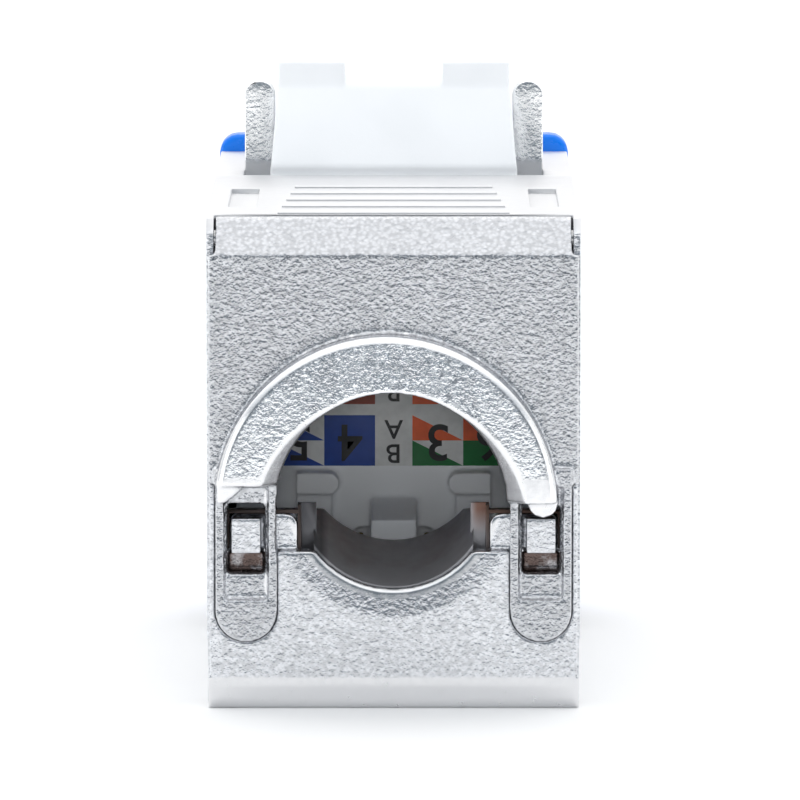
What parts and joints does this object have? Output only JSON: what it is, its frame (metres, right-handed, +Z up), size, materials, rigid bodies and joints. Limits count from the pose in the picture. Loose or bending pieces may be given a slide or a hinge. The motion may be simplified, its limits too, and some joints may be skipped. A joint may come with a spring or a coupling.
{
  "type": "keystone jack",
  "caption": "Shielded metal keystone jack with two hinged cable jaws, a white latch and a blue port cap.",
  "frame": {"origin": "on the flat underside, on the middle plane, half way between the port face and the jaws", "axes": "-Y out of the plug port, +Y out of the cable entry, +Z up through the latch, X across"},
  "size_m": [0.0152, 0.0361, 0.0245],
  "materials": {
    "nickel_casting": "nickel plating over a blasted casting",
    "white_plastic": "satin moulding",
    "blue_plastic": "semi-gloss moulding",
    "spring_steel": "dark rolled spring steel",
    "pin_steel": "ground",
    "label_film": "printed film",
    "black_plastic": "moulded",
    "board_green": "solder mask",
    "contact_gold": "gold plated"
  },
  "bodies": {
    "housing": {"circuit_board": "board_green", "contact_wire_1": "contact_gold", "contact_wire_2": "contact_gold", "contact_wire_3": "contact_gold", "contact_wire_4": "contact_gold", "contact_wire_5": "contact_gold", "contact_wire_6": "contact_gold", "contact_wire_7": "contact_gold", "contact_wire_8": "contact_gold", "front_shell": "nickel_casting", "hinge_pin_lower": "pin_steel", "hinge_pin_upper": "pin_steel", "idc_block_lower": "white_plastic", "idc_block_upper": "white_plastic", "idc_terminal_1": "contact_gold", "idc_terminal_2": "contact_gold", "idc_terminal_3": "contact_gold", "idc_terminal_4": "contact_gold", "idc_terminal_5": "contact_gold", "idc_terminal_6": "contact_gold", "idc_terminal_7": "contact_gold", "idc_terminal_8": "contact_gold", "port_insert": "black_plastic", "port_spring_left": "spring_steel", "port_spring_right": "spring_steel", "rear_shell": "nickel_casting", "wire_manager": "white_plastic", "wiring_label": "label_film"},
    "upper_jaw": {"upper_jaw": "nickel_casting"},
    "lower_jaw": {"lower_jaw": "nickel_casting", "shield_spring": "spring_steel"},
    "latch": {"latch": "white_plastic"},
    "dust_cap": {"dust_cap": "blue_plastic"}
  },
  "joints": [
    {"name": "upper_jaw_hinge", "type": "hinge", "parent": "housing", "child": "upper_jaw", "pos_m": [0, 0.0151, 0.01885], "axis": [1, 0, 0], "range_deg": [0, 80]},
    {"name": "lower_jaw_hinge", "type": "hinge", "parent": "housing", "child": "lower_jaw", "pos_m": [0, 0.01522, 0.00128], "axis": [-1, 0, 0], "range_deg": [0, 53]},
    {"name": "latch_flex", "type": "hinge", "parent": "housing", "child": "latch", "pos_m": [0, -0.0044, 0.01945], "axis": [1, 0, 0], "range_deg": [0, 8], "stiffness_Nm_per_rad": 0.3},
    {"name": "dust_cap_pull", "type": "slide", "parent": "housing", "child": "dust_cap", "axis": [0, -1, 0], "range_m": [0, 0.012]}
  ],
  "couplings": [
    {"joint": "lower_jaw_hinge", "follows": "upper_jaw_hinge", "ratio": 0.65}
  ]
}
